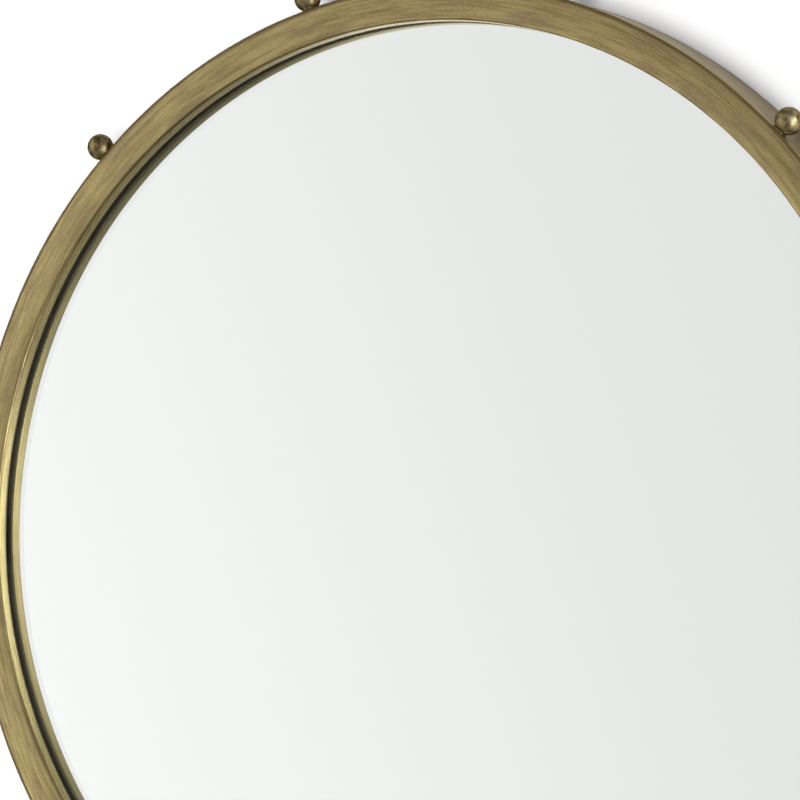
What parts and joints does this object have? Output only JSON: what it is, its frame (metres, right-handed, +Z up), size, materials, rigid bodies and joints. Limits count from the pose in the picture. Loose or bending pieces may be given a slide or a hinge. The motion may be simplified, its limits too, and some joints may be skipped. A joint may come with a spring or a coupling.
{
  "type": "round wall mirror",
  "caption": "Round wall mirror in a deep metal frame with a flat face, solid balls standing round its edge, and swinging hanger rings behind.",
  "frame": {"origin": "centre of the mirror on the wall, in the plane of the outer band's rear rim", "axes": "+Y along the mirror's axis into the wall, +Z up, +X to the right as seen from the front; the glass faces -Y"},
  "size_m": [0.7724, 0.0502, 0.7724],
  "materials": {
    "aged_brass": "aged and brushed along the ring",
    "dark_brass": "dark aged, rubbed back on the high spots",
    "black_foam": "closed cell foam tape",
    "float_glass": "clear float glass with ground edges",
    "silvering": "silvered, painted behind",
    "white_foam": "thin foam sheet",
    "painted_board": "fibreboard painted black",
    "block_rubber": "matt rubber",
    "zinc_steel": "zinc plated"
  },
  "bodies": {
    "frame": {"face_ring": "aged_brass", "outer_band": "dark_brass", "inner_lip": "aged_brass", "ball_01": "dark_brass", "ball_02": "dark_brass", "ball_03": "dark_brass", "ball_04": "dark_brass", "ball_05": "dark_brass", "ball_06": "dark_brass", "ball_07": "dark_brass", "ball_08": "dark_brass", "ball_09": "dark_brass", "ball_10": "dark_brass", "ball_11": "dark_brass", "ball_12": "dark_brass", "glazing_tape": "black_foam", "mirror_glass": "float_glass", "silver_coat": "silvering", "foam_liner": "white_foam", "backing_board": "painted_board", "setting_block_left": "block_rubber", "setting_block_right": "block_rubber", "clip_lug_1": "dark_brass", "clip_lug_2": "dark_brass", "clip_lug_3": "dark_brass", "clip_lug_4": "dark_brass", "clip_lug_5": "dark_brass", "clip_lug_6": "dark_brass", "clip_screws": "zinc_steel", "hanger_strap_left": "zinc_steel", "hanger_strap_right": "zinc_steel", "hanger_screws": "zinc_steel"},
    "hanger_ring_left": {"hanger_ring_left": "zinc_steel"},
    "hanger_ring_right": {"hanger_ring_right": "zinc_steel"},
    "turn_button_1": {"turn_button_1": "zinc_steel"},
    "turn_button_2": {"turn_button_2": "zinc_steel"},
    "turn_button_3": {"turn_button_3": "zinc_steel"},
    "turn_button_4": {"turn_button_4": "zinc_steel"},
    "turn_button_5": {"turn_button_5": "zinc_steel"},
    "turn_button_6": {"turn_button_6": "zinc_steel"}
  },
  "joints": [
    {"name": "hanger_swing_left", "type": "hinge", "parent": "frame", "child": "hanger_ring_left", "pos_m": [-0.2032, -0.01635, 0.185], "axis": [1, 0, 0], "range_deg": [0, 179]},
    {"name": "hanger_swing_right", "type": "hinge", "parent": "frame", "child": "hanger_ring_right", "pos_m": [0.2032, -0.01635, 0.185], "axis": [1, 0, 0], "range_deg": [0, 179]},
    {"name": "button_turn_1", "type": "hinge", "parent": "frame", "child": "turn_button_1", "pos_m": [0, -0.0192, 0.37275], "axis": [0, 1, 0], "range_deg": [-90, 90]},
    {"name": "button_turn_2", "type": "hinge", "parent": "frame", "child": "turn_button_2", "pos_m": [0.32281, -0.0192, 0.18638], "axis": [0, 1, 0], "range_deg": [-90, 90]},
    {"name": "button_turn_3", "type": "hinge", "parent": "frame", "child": "turn_button_3", "pos_m": [0.32281, -0.0192, -0.18638], "axis": [0, 1, 0], "range_deg": [-90, 90]},
    {"name": "button_turn_4", "type": "hinge", "parent": "frame", "child": "turn_button_4", "pos_m": [0, -0.0192, -0.37275], "axis": [0, 1, 0], "range_deg": [-90, 90]},
    {"name": "button_turn_5", "type": "hinge", "parent": "frame", "child": "turn_button_5", "pos_m": [-0.32281, -0.0192, -0.18638], "axis": [0, 1, 0], "range_deg": [-90, 90]},
    {"name": "button_turn_6", "type": "hinge", "parent": "frame", "child": "turn_button_6", "pos_m": [-0.32281, -0.0192, 0.18638], "axis": [0, 1, 0], "range_deg": [-90, 90]}
  ]
}
